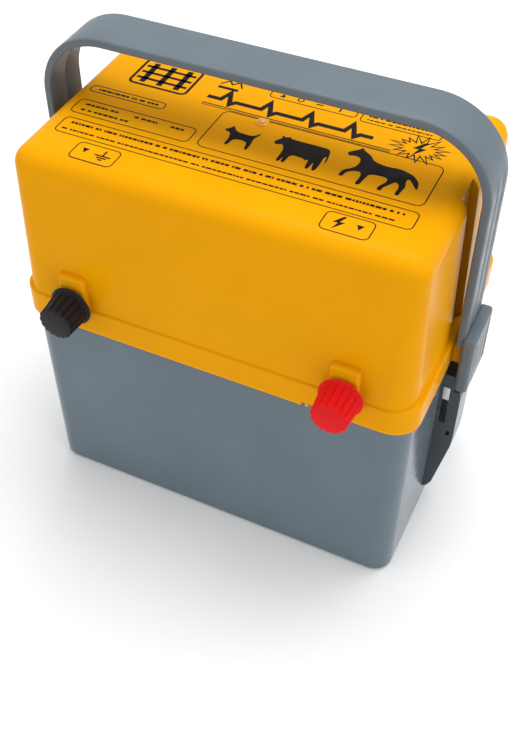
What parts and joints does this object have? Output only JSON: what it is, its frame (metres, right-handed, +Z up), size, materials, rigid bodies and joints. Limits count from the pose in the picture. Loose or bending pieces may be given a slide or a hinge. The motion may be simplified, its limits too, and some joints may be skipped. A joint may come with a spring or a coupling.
{
  "type": "fence energizer",
  "caption": "Portable battery electric-fence energizer: tall grey battery tub, yellow lid with the pulse electronics, swing-over carry handle, earth and fence screw terminals, rocker switch.",
  "frame": {"origin": "centre of the flat base of the tub", "axes": "+Z up, -Y towards the two screw terminals, +X to the right seen from the terminals"},
  "size_m": [0.2652, 0.1728, 0.2835],
  "materials": {
    "tub_plastic": "glossy moulded slate-grey plastic",
    "lid_plastic": "glossy moulded golden-yellow plastic",
    "handle_plastic": "satin blue-grey moulded plastic",
    "tray_plastic": "matt black moulded plastic",
    "seal_rubber": "soft black foam rubber",
    "plated_steel": "zinc plated steel",
    "contact_brass": "plain brass",
    "board_laminate": "solder-masked glass laminate",
    "core_steel": "varnished laminated steel",
    "copper_winding": "enamelled copper winding under clear tape",
    "capacitor_sleeve": "shrink sleeve, semi-gloss",
    "component_black": "matt epoxy component bodies",
    "lens_amber": "translucent amber moulded lens",
    "catch_plastic": "glossy dark blue-grey moulded plastic",
    "switch_plastic": "satin black moulded plastic",
    "knob_black": "glossy black moulded plastic",
    "knob_red": "glossy red moulded plastic"
  },
  "bodies": {
    "case": {"tub": "tub_plastic", "side_catches": "catch_plastic"},
    "lid": {"lid_shell": "lid_plastic", "gasket": "seal_rubber", "inner_tray": "tray_plastic", "tray_screws": "plated_steel", "circuit_board": "board_laminate", "board_pillars": "tray_plastic", "board_screws": "plated_steel", "transformer_core": "core_steel", "transformer_coil": "copper_winding", "storage_capacitor": "capacitor_sleeve", "board_parts": "component_black", "indicator_lens": "lens_amber", "switch_housing": "switch_plastic", "stud_earth": "plated_steel", "stud_fence": "plated_steel", "terminal_nuts": "plated_steel", "strap_earth": "contact_brass", "strap_fence": "contact_brass", "battery_tabs": "contact_brass"},
    "carry_handle": {"handle": "handle_plastic"},
    "rocker": {"switch_rocker": "switch_plastic"},
    "earth_clamp": {"washer_earth": "plated_steel"},
    "earth_knob": {"knob_earth": "knob_black", "insert_earth": "contact_brass"},
    "fence_clamp": {"washer_fence": "plated_steel"},
    "fence_knob": {"knob_fence": "knob_red", "insert_fence": "contact_brass"}
  },
  "joints": [
    {"name": "lid_lift", "type": "slide", "parent": "case", "child": "lid", "axis": [0, 0, 1], "range_m": [0, 0.15]},
    {"name": "handle_swing", "type": "hinge", "parent": "lid", "child": "carry_handle", "pos_m": [0, 0, 0.138], "axis": [1, 0, 0], "range_deg": [-90, 90]},
    {"name": "switch_rock", "type": "hinge", "parent": "lid", "child": "rocker", "pos_m": [0.012, 0.049, 0.241], "axis": [0, 1, 0], "range_deg": [-10, 10]},
    {"name": "earth_clamp_travel", "type": "slide", "parent": "lid", "child": "earth_clamp", "axis": [0, -1, 0], "range_m": [0, 0.004]},
    {"name": "earth_knob_turn", "type": "hinge", "parent": "earth_clamp", "child": "earth_knob", "pos_m": [-0.081, -0.08, 0.155], "axis": [0, -1, 0], "range_deg": [0, 1440]},
    {"name": "fence_clamp_travel", "type": "slide", "parent": "lid", "child": "fence_clamp", "axis": [0, -1, 0], "range_m": [0, 0.004]},
    {"name": "fence_knob_turn", "type": "hinge", "parent": "fence_clamp", "child": "fence_knob", "pos_m": [0.081, -0.08, 0.155], "axis": [0, -1, 0], "range_deg": [0, 1440]}
  ],
  "couplings": [
    {"joint": "earth_knob_turn", "follows": "earth_clamp_travel", "rad_per_m": 6283.2},
    {"joint": "fence_knob_turn", "follows": "fence_clamp_travel", "rad_per_m": 6283.2}
  ]
}
